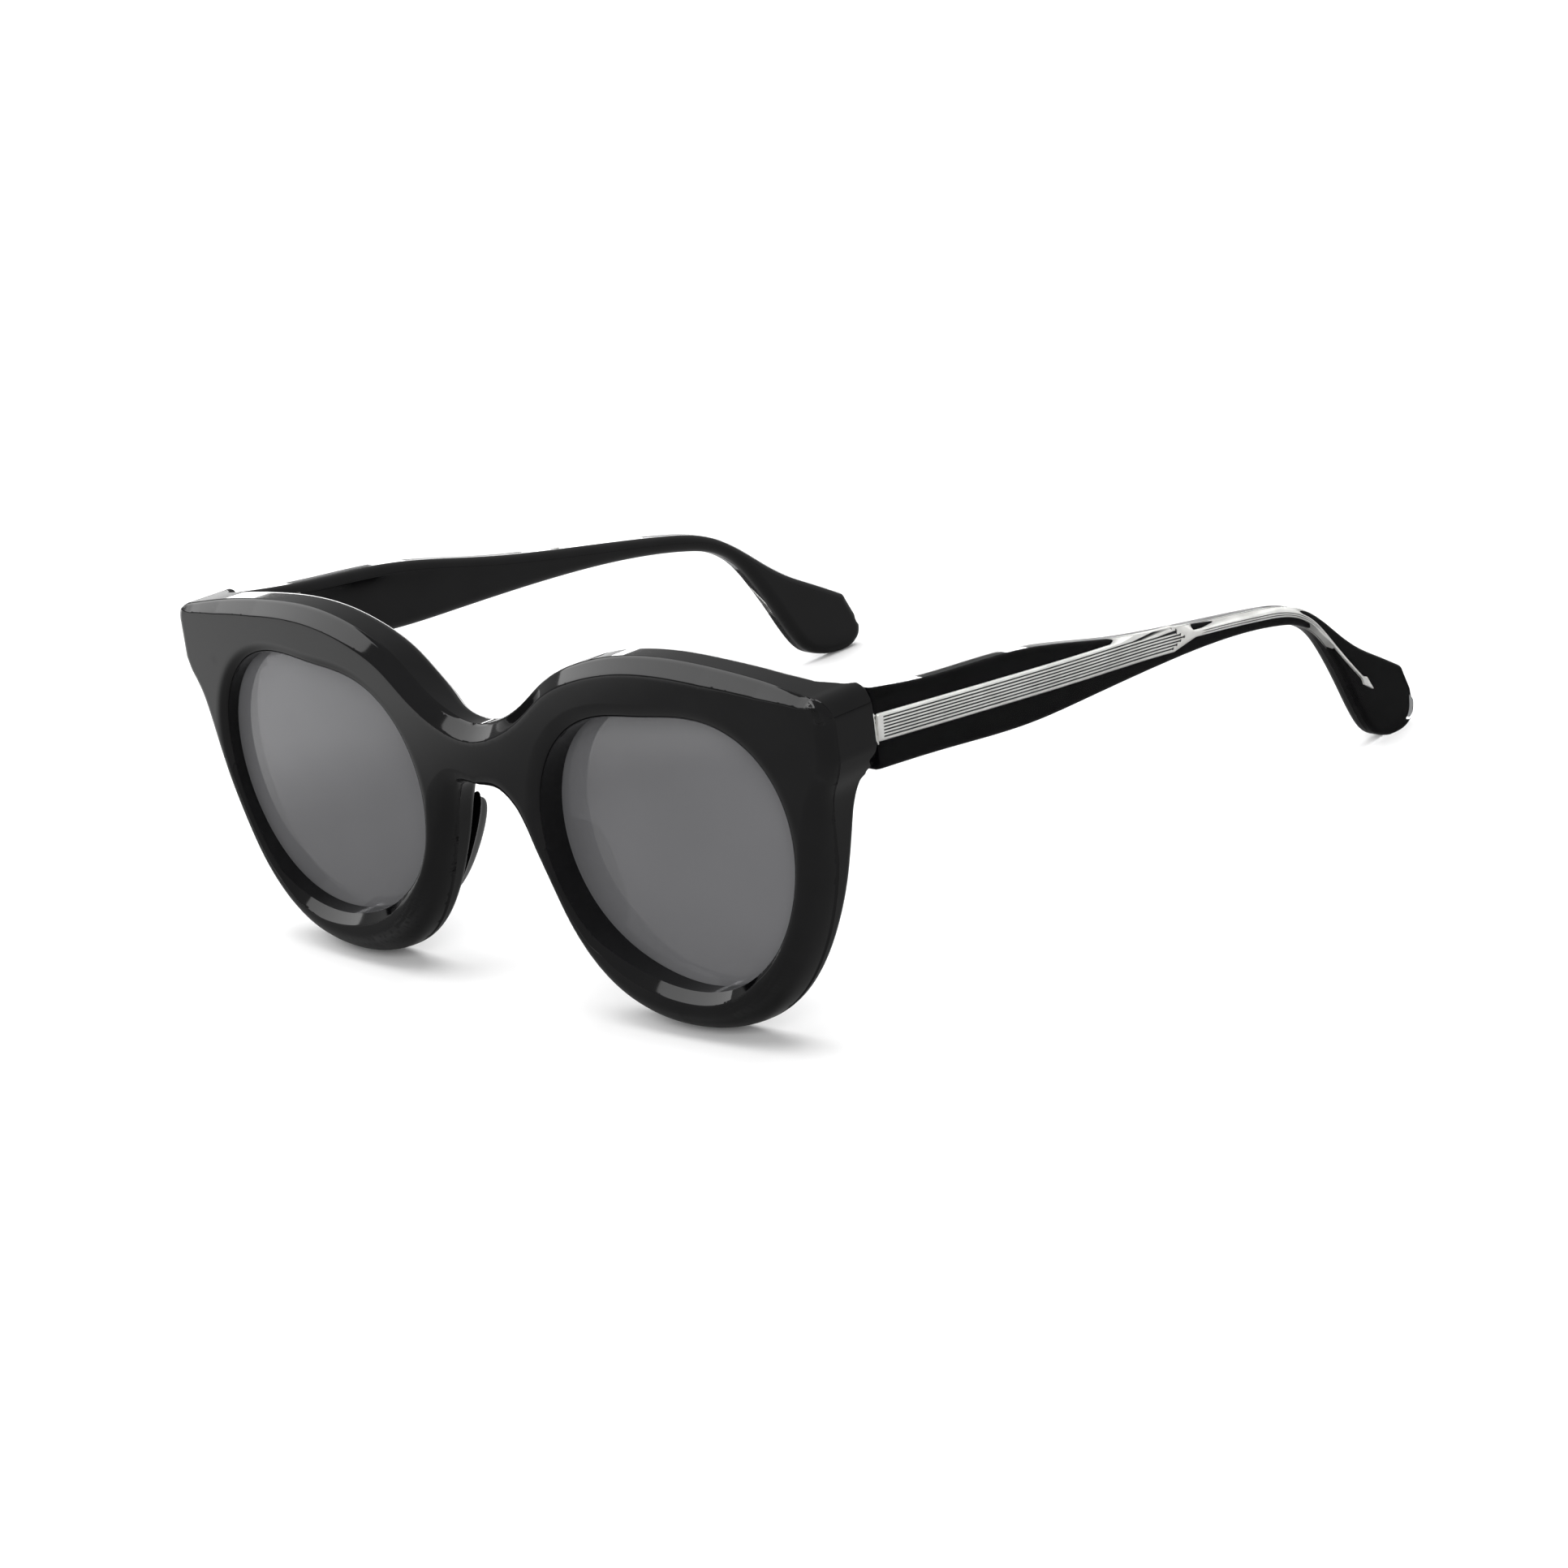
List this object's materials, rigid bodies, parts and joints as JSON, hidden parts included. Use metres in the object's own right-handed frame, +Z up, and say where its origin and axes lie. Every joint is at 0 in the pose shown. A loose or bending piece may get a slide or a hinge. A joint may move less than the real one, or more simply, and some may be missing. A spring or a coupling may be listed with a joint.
{
  "type": "cat eye sunglasses",
  "caption": "Thick glossy black cat eye sunglasses with grey lenses, folding laminated temples and an engraved silver core wire.",
  "frame": {"origin": "on the table under the middle of the open sunglasses' box", "axes": "+Z up, -Y out of the front of the face, +Y back along the temples, +X to the wearer's left"},
  "size_m": [0.144, 0.1496, 0.0582],
  "materials": {
    "black_acetate": "polished black cellulose acetate",
    "clear_acetate": "polished crystal-clear acetate",
    "lens_tint": "solid neutral grey tint, polished, slightly reflective",
    "core_silver": "engraved nickel silver with long fine grooves",
    "hinge_steel": "satin nickel silver",
    "screw_steel": "bright turned steel"
  },
  "bodies": {
    "front": {"front_frame": "black_acetate", "lens_left": "lens_tint", "lens_right": "lens_tint", "nose_pad_left": "black_acetate", "nose_pad_right": "black_acetate", "front_hinge_left": "hinge_steel", "front_hinge_right": "hinge_steel", "hinge_screw_left": "screw_steel", "hinge_screw_right": "screw_steel"},
    "temple_left": {"temple_inner_left": "black_acetate", "temple_outer_left": "clear_acetate", "core_wire_left": "core_silver", "temple_hinge_left": "hinge_steel"},
    "temple_right": {"temple_inner_right": "black_acetate", "temple_outer_right": "clear_acetate", "core_wire_right": "core_silver", "temple_hinge_right": "hinge_steel"}
  },
  "joints": [
    {"name": "temple_left_fold", "type": "hinge", "parent": "front", "child": "temple_left", "pos_m": [0.0658, -0.05939, 0.04681], "axis": [0, 0.0532, 0.9986], "range_deg": [0, 88]},
    {"name": "temple_right_fold", "type": "hinge", "parent": "front", "child": "temple_right", "pos_m": [-0.0658, -0.05939, 0.04681], "axis": [0, -0.0532, -0.9986], "range_deg": [0, 78]}
  ]
}
